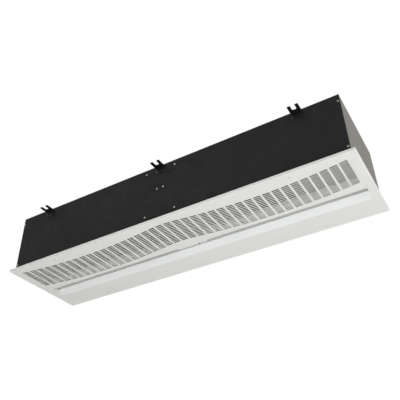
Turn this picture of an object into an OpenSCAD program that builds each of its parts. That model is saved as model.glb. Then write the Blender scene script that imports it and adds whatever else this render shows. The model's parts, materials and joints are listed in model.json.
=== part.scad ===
// Recessed ceiling air curtain. Millimetres, +X along the length, +Y towards the back, +Z up.
// The origin is the centre of the bottom cover's underside.

/* [Casing] */
// Length of the casing
case_l = 1500; // [1350:10:1800]
// Depth of the casing, front face to back face
case_d = 374; // [370:2:400]
// Overall height, cover underside to casing top
total_h = 276; // [274:1:300]
// Thickness of the casing's steel sheet
sheet = 1.2; // [1:0.1:1.5]
// Width of the casing's return flanges
flange = 18; // [16:1:22]
// Radius of the panel and cover screw shanks
screw_r = 2; // [1.8:0.1:2.3]
// Height of the upper panel screws below the casing's top
screw_top_drop = 32; // [26:1:40]
// Height of the lower panel screws above the cover's underside
screw_low_z = 36; // [33:1:44]

/* [Cover] */
// How far the cover stands out past the casing, all round
overhang = 16; // [10:1:22]
// Thickness of the cover's sheet
cover_t = 1.5; // [1.2:0.1:2]
// Height of the cover's upturned rim
rim_h = 12; // [8:1:18]
// Distance of the cover screws from the cover's long edges
cover_screw_inset = 23; // [21:0.5:25]
// Distance of the outer cover screws from the casing's ends
cover_screw_end = 222; // [190:4:270]
// Radius of the bends between the cover's face and its rim
bend_r = 3; // [2.2:0.2:4]

/* [Intake grille] */
// Least distance of the slotted columns from the casing's ends
field_inset = 20; // [16:1:40]
// Distance between the centres of two columns
column_pitch = 36.46; // [34:0.02:36.6]
// Width of a column, which is the length of its slots
column_w = 28.8; // [26:0.2:30]
// Solid strip between the wave's crest and the plane of the front face
front_border = 19; // [17:0.5:24]
// Far end of the columns in the wave's troughs, measured from the middle of the depth
trough_y = 1; // [0:0.5:6]
// Height of the wave's crests
wave_h = 29; // [16:1:29]
// Half width of the rounded crest in the middle
crest_half = 74; // [60:2:90]
// How far the troughs lie outside the quarter points of the length
trough_out = 9; // [0:1:25]
// Slots in a column
row_n = 14; // [10:1:14]
// Width of a slot
vent_w = 6.2; // [5:0.1:7]
// Solid border around the slotted field
field_border = 3; // [2:0.5:4]

/* [Discharge slot] */
// Distance of the slot's ends from the casing's end faces
slot_inset = 14.5; // [13:0.5:25]
// Near edge of the slot, measured from the middle of the depth
slot_y0 = 20; // [18:0.5:24]
// Far edge of the slot
slot_y1 = 92; // [88:1:96]
// Slant of the far lip
lip_angle = 43; // [43:1:50]
// Outer radius of the far lip's bend
lip_bend_r = 8; // [5:0.5:9]
// Height of the slot's lips above the cover's underside
lip_h = 22; // [18:1:22]
// Gap between the slanted lip and the slot's end cheeks
relief = 1.2; // [0.8:0.1:2]

/* [Discharge ducts] */
// Underside of the fan decks
deck_z = 24.8; // [24.4:0.2:28]
// Top of the discharge ducts
duct_top = 60; // [56:1:61]
// Half width of the electrical bay's floor
bay_half = 68; // [64:1:72]
// Gap between the bay floor and the ducts
bay_gap = 1; // [0.6:0.2:2]
// Near edge of the fan decks
deck_y0 = -4; // [-8:1:2]
// Inner end of the deck's near strip
deck_x0 = 92; // [86:1:98]
// Distance of the outer end of the deck's near strip from the casing's end
deck_inset = 50; // [40:2:70]
// Height of the upturned edges of a deck
deck_lip = 8; // [5:1:12]
// Gap between the foam seals and the cover's lips
seal_gap = 0.3; // [0.2:0.1:0.6]

/* [Fans] */
// How far the middle of a fan module lies outside the quarter point of the length
module_out = 29; // [21:1:37]
// Distance of a fan from the middle of its module
fan_dx = 168; // [160:2:180]
// Position of the fan axis in the depth
axis_y = -58; // [-61:1:-58]
// Height of the fan axis
axis_z = 156; // [155:0.5:158]
// Outer radius of an impeller
impeller_r = 72; // [68:1:73]
// Radial depth of the blades
blade_depth = 13.5; // [12:0.5:15]
// Width of an impeller
impeller_w = 104; // [92:2:106]
// Number of blades on an impeller
blade_n = 32; // [24:2:36]
// Thickness of a blade
blade_t = 1; // [0.8:0.1:1.2]
// Inner width of a scroll housing
scroll_w = 116; // [114:1:124]
// Smallest radius of the scroll, at its tongue
scroll_r0 = 80; // [79:0.5:81]
// Radius of the housing's inlet hole
inlet_r = 58; // [56:1:60]
// Radius of the fan shafts
shaft_r = 6; // [5:0.5:7]
// Radial clearance of a shaft in its bearing
running_gap = 0.05; // [0.03:0.01:0.08]

/* [Motors] */
// Outer radius of a motor
motor_r = 46; // [44:1:50]
// Length of a motor
motor_l = 96; // [90:2:104]
// Wall of the motor's shell
motor_wall = 3; // [2.5:0.5:4]
// Outer radius of a shaft bearing
bearing_r = 15; // [14:0.5:17]
// Width of a shaft bearing
bearing_w = 10; // [8:1:11]
// Gap between the motor's rotor core and stator
air_gap = 0.6; // [0.4:0.1:1]
// Width of the motor cradle
cradle_w = 60; // [48:2:70]
// Thickness of the cradle's plates
cradle_t = 3; // [2:0.5:4]

/* [Hangers] */
// Distance of the outer hangers from the casing's ends
hanger_inset = 158; // [130:4:190]
// How far a hanger stands out from the casing
hanger_out = 46; // [40:1:54]
// Width of a hanger
hanger_w = 42; // [38:1:54]
// Thickness of a hanger
hanger_t = 3; // [2.5:0.5:4]
// Drop of the underside of a hanger's fork below the casing's top
hanger_drop = 14; // [8:1:18]
// Width of the fork's slot
fork_w = 17; // [14:1:24]
// Depth of the fork's slot
fork_depth = 24; // [20:1:28]
// Height of a hanger's leg
leg_h = 24; // [20:1:30]

/* [Electrics] */
// Length of the circuit board
board_l = 84; // [80:2:92]
// Depth of the circuit board
board_d = 110; // [90:2:120]
// Distance of the board's rail screws from the middle
rail_screw_x = 15; // [12:1:20]
// Height of the board's rail screws
rail_screw_z = 162; // [150:1:170]
// Position of the receiver's lens along the length
lens_x = 29; // [24:1:40]
// Position of the receiver's lens in the depth
lens_y = 61; // [58:0.5:62]
// Radius of the receiver's lens
lens_r = 3; // [2:0.25:3.5]
// Radius of the cable gland's bore
gland_bore_r = 6; // [4:0.5:7]
// Height of the cable gland above the casing
gland_h = 16; // [12:1:22]

/* [Hidden] */

// A tiny reach past a face, so that a cut never ends on it
eps = 0.5;
$fn = 64;

// Casing faces
half_l = case_l / 2;
half_d = case_d / 2;
base_z = cover_t;
inner_l = half_l - sheet;
inner_d = half_d - sheet;
roof_z = total_h - 2 * sheet;
hole_gap = 0.3;

// Screws
head_r_ratio = 1.9;
head_h_ratio = 1.1;
head_taper = 0.72;
head_r = head_r_ratio * screw_r;
head_h = head_h_ratio * screw_r;
screw_reach = 5;
cover_head_h = 1;
cover_screw_reach = 7;
cover_screw_l = cover_t + sheet + cover_screw_reach;

// Cover faces
cover_half_l = half_l + overhang;
cover_half_d = half_d + overhang;
cover_screw_y = cover_half_d - cover_screw_inset;
cover_screw_x = half_l - cover_screw_end;
cover_screw_xs = [-cover_screw_x, 0, cover_screw_x];
slot_l = case_l - 2 * slot_inset;
cheek_screw_out = 4;
cheek_screw_front = 17.8;
cheek_screw_x = slot_l / 2 + cheek_screw_out;
cheek_screw_y = slot_y0 - cheek_screw_front;

// Panel screws on the front and back faces
end_screw_inset = 7;
end_screw_x = half_l - end_screw_inset;
bulkhead_inset = 8;
bulkhead_x = bay_half - bulkhead_inset;
bulkhead_screw_x = bay_half;
bulkhead_screw_rise = 8;
screw_high_z = total_h - screw_top_drop;
bulkhead_screw_zs = [screw_low_z + bulkhead_screw_rise, screw_high_z + bulkhead_screw_rise];

// Intake field
column_n = 2 * floor((half_l - field_inset) / column_pitch);
field_half_l = column_n * column_pitch / 2 + field_border - (column_pitch - column_w) / 2;
field_y1 = trough_y + field_border;
column_len = half_d + trough_y - wave_h - front_border;
field_y0 = trough_y - wave_h - column_len - field_border;
row_pitch = (column_len - vent_w) / (row_n - 1);
trough_x = half_l / 2 + trough_out;
wave_fall = wave_h / (trough_x * (trough_x - crest_half));
crest_curve = wave_fall * (trough_x - crest_half) / crest_half;

// Offset of a column towards the front, as a function of its place along the length
function wave(x) = abs(x) < crest_half ? wave_h - crest_curve * x * x
                                       : wave_fall * pow(trough_x - abs(x), 2);
function wave_slope(x) = abs(x) < crest_half ? -2 * crest_curve * x
                                             : -2 * wave_fall * (trough_x - abs(x)) * sign(x);
function column_x(i) = (i - (column_n - 1) / 2) * column_pitch;

// Ducts and decks
lip_fall = lip_bend_r * (1 - cos(lip_angle));
lip_run = (lip_h - cover_t * cos(lip_angle) - lip_fall) / sin(lip_angle);
throat_y = slot_y1 - lip_bend_r * sin(lip_angle) - lip_run * cos(lip_angle);
deck_top = deck_z + sheet;
deck_end_gap = 2;
deck_x1 = half_l - deck_inset;
deck_back_x1 = inner_l - flange - deck_end_gap;
seal_z = lip_h + seal_gap;
seal_near_w = 4;
seal_back_w = 5;
duct_x0 = bay_half + bay_gap;
duct_end_room = 3;
duct_x1 = slot_l / 2 + duct_end_room;
duct_y0 = slot_y0;
throat_gap = 0.2;
duct_y1 = throat_y + throat_gap + sheet;
duct_roof_z = duct_top - sheet;
lip_y0 = slot_y0 - cover_t;
notch_gap = 1;
cheek_foot = 2;
bay_floor_y0 = slot_y0 + bay_gap;

// Fans
module_x = half_l / 2 + module_out;
fan_xs = [-module_x - fan_dx, -module_x + fan_dx, module_x - fan_dx, module_x + fan_dx];
tongue_angle = 40;
scroll_turn = 360 - tongue_angle;
scroll_steps = 40;
outlet_gap = 0.6;
outlet_step = 2;
scroll_out = duct_y1 - sheet - outlet_gap - axis_y;
scroll_growth = scroll_out - scroll_r0;
scroll_half = scroll_w / 2;
outlet_near = duct_y0 + sheet + outlet_step - axis_y;
outlet_z = duct_top - axis_z;
flange_w = 9;
blade_end_gap = 0.5;
blade_arc = 72;
blade_start = 44;
blade_curve_r = 0.83 * blade_depth;
blade_centre_in = 0.67 * blade_depth;
blade_centre_side = 0.66 * blade_depth;
hub_wall = 8;
hub_r = shaft_r + hub_wall;
hub_l = 34;
ring_t = 2;
ring_seat_w = 8;
ring_sheet = 1;
ring_throat_gap = 0.3;
ring_depth = 4;

// Motors
shaft_end = 8;
shaft_half = fan_dx + hub_l / 2 + shaft_end;
stator_depth = 16;
core_r = motor_r - motor_wall - stator_depth;
core_end_room = 12;
core_l = motor_l - 2 * (bearing_w + core_end_room);
shoulder_wall = 5;
core_space = motor_l - 2 * (bearing_w + shoulder_wall);
shoulder_r = 10;
boss_wall = 4;
boss_r = bearing_r + boss_wall;
bearing_ledge = 4;
hub_gap_r = bearing_r - bearing_ledge;
cradle_foot_x = cradle_w / 2;
saddle_wall = 6;
saddle_rise = 6;
saddle_low = 20;
saddle_toe = 10;
saddle_drop = 14;
band_t = 1.5;

// Hangers
hanger_x = half_l - hanger_inset;
hanger_z = total_h - hanger_drop;
fork_z1 = hanger_z + hanger_t;
fork_y0 = half_d + hanger_out;
leg_screw_edge = 9;
leg_screw_x = hanger_w / 2 - leg_screw_edge;
leg_screw_z = hanger_z - leg_h / 2;
fork_corner = 5;

// Electrical bay
bulkhead_flange = 16;
rail_h = 24;
rail_out = 150;
rail_base_z = rail_screw_z - rail_h / 2 + sheet;
board_t = 1.6;
board_stand = 6;
board_front = 20;
board_y0 = board_front - inner_d;
board_top = rail_base_z + board_stand + board_t;
spacer_r = 3;
spacer_inset = 7;
// Relay, transformer and plug strip on the board, as [x0, x1, y0, y1, height]
board_blocks = [[-30, -8, 18, 48, 16], [2, 34, 20, 44, 24], [-30, 30, 84, 96, 10]];
can_n = 4;
can_x0 = -28;
can_pitch = 12;
can_y = 66;
can_r = 4.5;
can_h = 12;
terminal_l = 96;
terminal_d = 22;
terminal_h = 26;
terminal_n = 8;
terminal_pitch = 11;
terminal_hole_r = 2.6;
terminal_drop = 66;
terminal_z = total_h - terminal_drop;
terminal_screw_edge = 4;
terminal_screw_x = terminal_l / 2 - terminal_screw_edge;
terminal_hole_y = inner_d - terminal_d / 2 - 1;
capacitor_x = 28;
capacitor_y = 125;
capacitor_r = 17;
capacitor_h = 62;
capacitor_stud_r = capacitor_r / 3;
capacitor_stud_h = capacitor_r / 2;
lens_flange = 2;
gland_wall = 3;
gland_thread_r = gland_bore_r + gland_wall;
gland_neck_r = gland_thread_r + 1;
gland_inner = 8;
gland_chamfer = 2;
gland_hex_r = gland_thread_r + 4;
nut_hex_r = gland_thread_r + 5;
nut_h = 5;

// A box between two corners
module block(a, b) {
  translate(a) cube([b[0] - a[0], b[1] - a[1], b[2] - a[2]]);
}

// Copies for a pair of mirrored sides
module both_x() {
  children();
  mirror([1, 0, 0]) children();
}

module both_y() {
  children();
  mirror([0, 1, 0]) children();
}

// A hole or pin along Y that starts at y and runs inwards
module y_pin(x, y, z, r, l) {
  translate([x, y, z]) rotate([-90, 0, 0]) cylinder(r = r, h = l);
}

// Panel screw places shared by both long faces, and the ones each face has alone, as [x, z]
panel_screw_places = concat(
  [for (sx = [-1, 1], z = [screw_low_z, screw_high_z]) [sx * end_screw_x, z]],
  [for (sx = [-1, 1], z = bulkhead_screw_zs) [sx * bulkhead_screw_x, z]]
);
rail_screw_places = [for (sx = [-1, 1]) [sx * rail_screw_x, rail_screw_z]];
terminal_screw_places = [for (sx = [-1, 1]) [sx * terminal_screw_x, terminal_z + terminal_h / 2]];

// Long face sheet with return flanges at its top and bottom
module long_panel(own_places) {
  difference() {
    union() {
      block([-half_l, -half_d, base_z], [half_l, -inner_d, total_h]);
      block([-inner_l, -half_d, base_z], [inner_l, flange - half_d, base_z + sheet]);
      block([-inner_l, -half_d, total_h - sheet], [inner_l, flange - half_d, total_h]);
    }
    for (p = concat(panel_screw_places, own_places))
      y_pin(p[0], -half_d - eps, p[1], screw_r + hole_gap, sheet + 2 * eps);
    for (x = [-hanger_x, 0, hanger_x], dx = [-leg_screw_x, leg_screw_x])
      y_pin(x + dx, -half_d - eps, leg_screw_z, screw_r + hole_gap, sheet + 2 * eps);
    for (x = cover_screw_xs)
      translate([x, -cover_screw_y, base_z - eps])
        cylinder(r = screw_r + hole_gap, h = sheet + 2 * eps);
  }
}

module front_panel() {
  color([0.17, 0.175, 0.175]) long_panel(rail_screw_places);
}

module back_panel() {
  color([0.17, 0.175, 0.175]) mirror([0, 1, 0]) long_panel(terminal_screw_places);
}

module top_panel() {
  color([0.62, 0.63, 0.64]) difference() {
    block([-inner_l, -inner_d, roof_z], [inner_l, inner_d, total_h - sheet]);
    translate([0, inner_d / 2, roof_z - eps])
      cylinder(r = gland_thread_r + hole_gap, h = sheet + 2 * eps);
  }
}

// Galvanised end plate with flanges behind the long panels, under the top and over the cover
module end_plate() {
  difference() {
    union() {
      block([inner_l, -inner_d, base_z], [half_l, inner_d, total_h - sheet]);
      block([inner_l - flange, flange - half_d, base_z], [inner_l, half_d - flange, base_z + sheet]);
      block([inner_l - flange, -inner_d, roof_z - sheet], [inner_l, inner_d, roof_z]);
      both_y() block([inner_l - flange, -inner_d, base_z + sheet],
                     [inner_l, sheet - inner_d, roof_z - sheet]);
    }
    both_y() for (z = [screw_low_z, screw_high_z])
      y_pin(end_screw_x, -inner_d - eps, z, screw_r + hole_gap, sheet + 2 * eps);
    translate([cheek_screw_x, cheek_screw_y, base_z - eps])
      cylinder(r = screw_r + hole_gap, h = sheet + 2 * eps);
    block([0, lip_y0 - notch_gap, base_z - eps],
          [slot_l / 2 + cover_t + notch_gap, slot_y1 + cheek_foot + notch_gap, base_z + sheet + eps]);
  }
}

module end_plate_left() {
  color([0.60, 0.60, 0.58]) mirror([1, 0, 0]) end_plate();
}

module end_plate_right() {
  color([0.60, 0.60, 0.58]) end_plate();
}

// Forked hanger bracket on the front face: a leg on the panel and an open fork above it
module hanger(x) {
  translate([x, 0, 0]) difference() {
    union() {
      block([-hanger_w / 2, -fork_y0, hanger_z], [hanger_w / 2, -half_d, fork_z1]);
      block([-hanger_w / 2, -half_d - hanger_t, hanger_z - leg_h], [hanger_w / 2, -half_d, hanger_z]);
    }
    block([-fork_w / 2, -fork_y0 - eps, hanger_z - eps],
          [fork_w / 2, fork_depth - fork_y0 - fork_corner, fork_z1 + eps]);
    translate([0, 0, hanger_z - eps]) both_x()
      translate([fork_w / 2 - fork_corner, fork_depth - fork_y0 - fork_corner, 0])
        cylinder(r = fork_corner, h = hanger_t + 2 * eps);
    block([fork_corner - fork_w / 2, -fork_y0, hanger_z - eps],
          [fork_w / 2 - fork_corner, fork_depth - fork_y0, fork_z1 + eps]);
    for (dx = [-leg_screw_x, leg_screw_x])
      y_pin(dx, -half_d - hanger_t - eps, leg_screw_z, screw_r + hole_gap, hanger_t + 2 * eps);
  }
}

module hanger_front_left() {
  color([0.10, 0.10, 0.10]) hanger(-hanger_x);
}

module hanger_front_middle() {
  color([0.10, 0.10, 0.10]) hanger(0);
}

module hanger_front_right() {
  color([0.10, 0.10, 0.10]) hanger(hanger_x);
}

module hanger_back_left() {
  color([0.10, 0.10, 0.10]) mirror([0, 1, 0]) hanger(-hanger_x);
}

module hanger_back_middle() {
  color([0.10, 0.10, 0.10]) mirror([0, 1, 0]) hanger(0);
}

module hanger_back_right() {
  color([0.10, 0.10, 0.10]) mirror([0, 1, 0]) hanger(hanger_x);
}

// Pan-head screw along +Y whose head sits on the plane y
module face_screw(x, y, z, l) {
  translate([x, y, z]) rotate([-90, 0, 0]) {
    cylinder(r = screw_r, h = l);
    translate([0, 0, -head_h]) cylinder(r1 = head_taper * head_r, r2 = head_r, h = head_h);
  }
}

module hanger_screws() {
  color([0.12, 0.12, 0.12]) both_y()
    for (x = [-hanger_x, 0, hanger_x], dx = [-leg_screw_x, leg_screw_x])
      face_screw(x + dx, -half_d - hanger_t, leg_screw_z, hanger_t + sheet + screw_reach);
}

module panel_screws() {
  color([0.66, 0.66, 0.66]) {
    both_y() for (p = panel_screw_places) panel_screw(p);
    for (p = rail_screw_places) panel_screw(p);
    mirror([0, 1, 0]) for (p = terminal_screw_places) panel_screw(p);
  }
}

module panel_screw(p) {
  face_screw(p[0], -half_d, p[1], 2 * sheet + screw_reach);
}

// Cross wall beside the electrical bay, standing on the bay floor and behind the long panels
module bulkhead() {
  difference() {
    union() {
      block([bulkhead_x, -inner_d, deck_top], [bulkhead_x + sheet, inner_d, roof_z]);
      both_y() block([bulkhead_x, -inner_d, deck_top],
                     [bulkhead_x + bulkhead_flange, sheet - inner_d, roof_z]);
    }
    both_y() for (z = bulkhead_screw_zs)
      y_pin(bulkhead_screw_x, -inner_d - eps, z, screw_r + hole_gap, sheet + 2 * eps);
  }
}

module bulkhead_left() {
  color([0.66, 0.67, 0.67]) mirror([1, 0, 0]) bulkhead();
}

module bulkhead_right() {
  color([0.66, 0.67, 0.67]) bulkhead();
}

// Floor of the electrical bay: it shows in the middle of the slot and carries the receiver
module bay_floor() {
  color([0.84, 0.84, 0.82]) difference() {
    block([-bay_half, bay_floor_y0, deck_z], [bay_half, inner_d, deck_top]);
    translate([lens_x, lens_y, deck_z - eps]) cylinder(r = lens_r + hole_gap, h = sheet + 2 * eps);
  }
}

// Folded sheet in front of the slot: a duct's near wall and the deck strip under the fans
module deck_front() {
  block([duct_x0, duct_y0, deck_z], [duct_x1, duct_y0 + sheet, duct_roof_z]);
  block([deck_x0, deck_y0, deck_z], [deck_x1, duct_y0 + sheet, deck_top]);
  block([deck_x0, deck_y0, deck_z], [deck_x1, deck_y0 + sheet, deck_top + deck_lip]);
}

module deck_front_left() {
  color([0.84, 0.84, 0.82]) mirror([1, 0, 0]) deck_front();
}

module deck_front_right() {
  color([0.84, 0.84, 0.82]) deck_front();
}

// Folded sheet behind the slot: a duct's far wall and the deck that runs to the back panel
module deck_back() {
  block([duct_x0, duct_y1 - sheet, deck_z], [duct_x1, duct_y1, duct_roof_z]);
  block([duct_x0, duct_y1 - sheet, deck_z], [deck_back_x1, inner_d, deck_top]);
  block([duct_x0 + bulkhead_flange, inner_d - sheet, deck_z],
        [deck_back_x1, inner_d, deck_top + deck_lip]);
}

module deck_back_left() {
  color([0.84, 0.84, 0.82]) mirror([1, 0, 0]) deck_back();
}

module deck_back_right() {
  color([0.84, 0.84, 0.82]) deck_back();
}

// Top of a duct, with an outlet opening for each of its two fans
module duct_roof() {
  difference() {
    block([duct_x0, duct_y0, duct_roof_z], [duct_x1, duct_y1, duct_top]);
    for (x = [module_x - fan_dx, module_x + fan_dx])
      block([x - scroll_half, axis_y + outlet_near, duct_roof_z - eps],
            [x + scroll_half, axis_y + scroll_out, duct_top + eps]);
  }
}

module duct_top_left() {
  color([0.64, 0.65, 0.64]) mirror([1, 0, 0]) duct_roof();
}

module duct_top_right() {
  color([0.64, 0.65, 0.64]) duct_roof();
}

// Plates that close both ends of each duct
module duct_ends() {
  color([0.84, 0.84, 0.82]) both_x() for (x = [duct_x0, duct_x1 - sheet])
    block([x, duct_y0 + sheet, deck_z], [x + sheet, duct_y1 - sheet, duct_roof_z]);
}

// Foam strips under both edges of each duct, which the cover's lips press against
module duct_seal() {
  color([0.74, 0.74, 0.72]) both_x() {
    block([deck_x0, duct_y0 - seal_near_w, seal_z], [deck_x1, duct_y0 + sheet, deck_z]);
    block([duct_x0, duct_y1 - sheet, seal_z], [deck_back_x1, duct_y1 + seal_back_w, deck_z]);
  }
}

// Scroll outline in the plane across the fan axis, as [y, z] from the axis.
// It starts at the tongue, runs round under, in front and over, and ends in the straight outlet.
function scroll_point(s, grow) =
  let(a = -tongue_angle - s * scroll_turn, r = scroll_r0 + s * scroll_growth + grow)
  [r * cos(a), r * sin(a)];

function unit(v) = v / norm(v);

// Corner of the tongue, moved out so that both walls that meet there keep their thickness
function tongue_point(grow) =
  let(tip = scroll_point(0, 0),
      wall = unit([outlet_near, outlet_z] - tip),
      rim = unit(scroll_point(1 / scroll_steps, 0) - tip))
  tip + grow * (wall + rim) / abs(cross(wall, rim));

module scroll_shape(grow) {
  polygon(concat(
    [tongue_point(grow)],
    [for (i = [1 : scroll_steps]) scroll_point(i / scroll_steps, grow)],
    [[scroll_out + grow, outlet_z], [outlet_near - grow, outlet_z]]
  ));
}

// Turns a shape drawn in [y, z] and extruded along z into one that is extruded along X
module along_x() {
  multmatrix([[0, 0, 1, 0], [1, 0, 0, 0], [0, 1, 0, 0], [0, 0, 0, 1]]) children();
}

// Rolled wrap of one housing, open at the outlet, on the flange that seats it
module fan_housing(x) {
  translate([x - scroll_half, axis_y, axis_z]) along_x() linear_extrude(scroll_w) difference() {
    scroll_shape(sheet);
    scroll_shape(0);
    translate([outlet_near, outlet_z - eps]) square([scroll_out - outlet_near, 3 * eps]);
  }
  outlet_flange(x);
}

// Flange round a housing's outlet, resting on the duct's top
module outlet_flange(x) {
  y0 = axis_y + outlet_near;
  y1 = axis_y + scroll_out;
  difference() {
    block([x - scroll_half - flange_w, duct_y0, duct_top],
          [x + scroll_half + flange_w, duct_y1, duct_top + sheet]);
    block([x - scroll_half, y0, duct_top - eps], [x + scroll_half, y1, duct_top + sheet + eps]);
  }
}

module fan_housing_1() {
  color([0.70, 0.71, 0.71]) fan_housing(fan_xs[0]);
}

module fan_housing_2() {
  color([0.70, 0.71, 0.71]) fan_housing(fan_xs[1]);
}

module fan_housing_3() {
  color([0.70, 0.71, 0.71]) fan_housing(fan_xs[2]);
}

module fan_housing_4() {
  color([0.70, 0.71, 0.71]) fan_housing(fan_xs[3]);
}

// Flat cheeks of the housings, each with a round inlet, standing on the outlet flanges
module fan_cheeks() {
  color([0.70, 0.71, 0.71]) for (x = fan_xs, side = [0, 1])
    translate([x, axis_y, axis_z]) mirror([side, 0, 0]) translate([scroll_half, 0, 0])
      along_x() linear_extrude(sheet) difference() {
        scroll_shape(sheet);
        circle(inlet_r);
        translate([outlet_near - 2 * sheet, outlet_z - eps])
          square([scroll_out - outlet_near + 4 * sheet, sheet + eps]);
      }
}

// Rounded inlet ring: a flat seat on the housing's cheek and a throat that leads the air in
module inlet_ring() {
  throat = inlet_r - ring_throat_gap;
  rotate_extrude() {
    translate([throat, 0]) square([ring_seat_w, ring_sheet]);
    translate([throat - ring_sheet, -ring_depth]) square([ring_sheet, ring_depth + ring_sheet]);
  }
}

module inlet_rings() {
  color([0.70, 0.71, 0.71]) for (x = fan_xs, side = [0, 1])
    translate([x, axis_y, axis_z]) mirror([side, 0, 0])
      translate([scroll_half + sheet, 0, 0]) rotate([0, 90, 0]) inlet_ring();
}

// Motor shell: a drum with rounded shoulders, a bearing boss at each end and a bore for the shaft
module motor_shell(x) {
  translate([x, axis_y, axis_z]) rotate([0, 90, 0]) difference() {
    rotate_extrude() motor_outline();
    translate([0, 0, -core_space / 2]) cylinder(r = motor_r - motor_wall, h = core_space);
    both_z() translate([0, 0, motor_l / 2 - bearing_w]) cylinder(r = bearing_r, h = bearing_w + eps);
    translate([0, 0, -motor_l]) cylinder(r = hub_gap_r, h = 2 * motor_l);
  }
}

module motor_outline() {
  body_half = motor_l / 2 - bearing_w;
  translate([0, -body_half]) square([motor_r - shoulder_r, 2 * body_half]);
  translate([0, shoulder_r - body_half]) square([motor_r, 2 * (body_half - shoulder_r)]);
  intersection() {
    translate([0, -body_half]) square([motor_r, 2 * body_half]);
    for (s = [-1, 1]) translate([motor_r - shoulder_r, s * (body_half - shoulder_r)]) circle(shoulder_r);
  }
  translate([0, -motor_l / 2]) square([boss_r, motor_l]);
}

module both_z() {
  children();
  mirror([0, 0, 1]) children();
}

module motor_shell_left() {
  color([0.23, 0.24, 0.26]) motor_shell(-module_x);
}

module motor_shell_right() {
  color([0.23, 0.24, 0.26]) motor_shell(module_x);
}

module motor_stators() {
  color([0.45, 0.38, 0.32]) for (x = [-module_x, module_x])
    translate([x - core_l / 2, axis_y, axis_z]) rotate([0, 90, 0]) difference() {
      cylinder(r = motor_r - motor_wall, h = core_l);
      translate([0, 0, -eps]) cylinder(r = core_r + air_gap, h = core_l + 2 * eps);
    }
}

module shaft_bearings() {
  color([0.75, 0.75, 0.76]) for (x = [-module_x, module_x], side = [0, 1])
    translate([x, axis_y, axis_z]) rotate([0, 90, 0]) mirror([0, 0, side])
      translate([0, 0, motor_l / 2 - bearing_w]) difference() {
        cylinder(r = bearing_r, h = bearing_w);
        translate([0, 0, -eps]) cylinder(r = shaft_r + running_gap, h = bearing_w + 2 * eps);
      }
}

// Cradle: a foot on the duct's top and two saddle plates that reach out under the motor
module motor_cradle(x) {
  translate([x, 0, 0]) difference() {
    union() {
      block([-cradle_foot_x, duct_y0, duct_top], [cradle_foot_x, duct_y1, duct_top + cradle_t]);
      both_x() saddle_plate();
    }
    translate([0, axis_y, axis_z]) rotate([0, 90, 0])
      cylinder(r = motor_r, h = 2 * cradle_w, center = true);
  }
}

// Saddle plate in the plane across the fan axis
module saddle_plate() {
  translate([cradle_foot_x - cradle_t, 0, 0]) along_x() linear_extrude(cradle_t) polygon([
    [duct_y1, duct_top],
    [duct_y1, duct_top + 2 * cradle_t],
    [axis_y + motor_r + saddle_wall, axis_z - saddle_low],
    [axis_y + motor_r + saddle_wall, axis_z + saddle_rise],
    [axis_y - motor_r - saddle_wall, axis_z + saddle_rise],
    [axis_y - motor_r - saddle_wall, axis_z - saddle_low],
    [axis_y - saddle_toe, axis_z - motor_r - saddle_drop],
    [duct_y0, duct_top]
  ]);
}

module motor_cradle_left() {
  color([0.66, 0.67, 0.67]) motor_cradle(-module_x);
}

module motor_cradle_right() {
  color([0.66, 0.67, 0.67]) motor_cradle(module_x);
}

// Clamp band over each motor, with feet on the saddle plates
module cradle_bands() {
  color([0.55, 0.56, 0.57]) for (x = [-module_x, module_x])
    translate([x - cradle_foot_x, axis_y, axis_z]) along_x() linear_extrude(cradle_w) difference() {
      union() {
        intersection() {
          circle(motor_r + band_t);
          translate([-2 * motor_r, saddle_rise]) square([4 * motor_r, 2 * motor_r]);
        }
        translate([-motor_r - saddle_wall, saddle_rise]) square([2 * (motor_r + saddle_wall), band_t]);
      }
      circle(motor_r);
    }
}

// Rail across the electrical bay that the board hangs from, held by the two middle face screws
module board_rail() {
  color([0.66, 0.67, 0.67]) difference() {
    union() {
      block([-bulkhead_x, -inner_d, rail_screw_z - rail_h / 2],
            [bulkhead_x, sheet - inner_d, rail_screw_z + rail_h / 2]);
      block([-bulkhead_x, -inner_d, rail_screw_z - rail_h / 2],
            [bulkhead_x, rail_out - inner_d, rail_screw_z - rail_h / 2 + sheet]);
    }
    for (sx = [-1, 1])
      y_pin(sx * rail_screw_x, -inner_d - eps, rail_screw_z, screw_r + hole_gap, sheet + 2 * eps);
  }
}

module circuit_board() {
  color([0.10, 0.36, 0.20]) block([-board_l / 2, board_y0, rail_base_z + board_stand],
                                  [board_l / 2, board_y0 + board_d, board_top]);
}

// Parts on the board and its four spacers
module board_parts() {
  color([0.12, 0.12, 0.13]) {
    for (sx = [-1, 1], y = [spacer_inset, board_d - spacer_inset])
      translate([sx * (board_l / 2 - spacer_inset), board_y0 + y, rail_base_z])
        cylinder(r = spacer_r, h = board_stand);
    for (b = board_blocks)
      block([b[0], board_y0 + b[2], board_top], [b[1], board_y0 + b[3], board_top + b[4]]);
    for (i = [0 : can_n - 1])
      translate([can_x0 + can_pitch * i, board_y0 + can_y, board_top]) cylinder(r = can_r, h = can_h);
  }
}

// Terminal block on the inside of the back panel, held by two screws from outside
module terminal_block() {
  color([0.86, 0.86, 0.82]) difference() {
    block([-terminal_l / 2, inner_d - terminal_d, terminal_z],
          [terminal_l / 2, inner_d, terminal_z + terminal_h]);
    for (i = [0 : terminal_n - 1])
      translate([(i - (terminal_n - 1) / 2) * terminal_pitch, terminal_hole_y, terminal_z - eps])
        cylinder(r = terminal_hole_r, h = terminal_h / 2);
    mirror([0, 1, 0]) for (p = terminal_screw_places)
      y_pin(p[0], -inner_d - eps, p[1], screw_r, sheet + screw_reach + 2 * eps);
  }
}

// Motor run capacitors on the bay floor
module run_capacitors() {
  color([0.80, 0.80, 0.78]) for (sx = [-1, 1])
    translate([sx * capacitor_x, capacitor_y, deck_top]) {
      cylinder(r = capacitor_r, h = capacitor_h);
      translate([0, 0, capacitor_h]) cylinder(r = capacitor_stud_r, h = capacitor_stud_h);
    }
}

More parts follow.
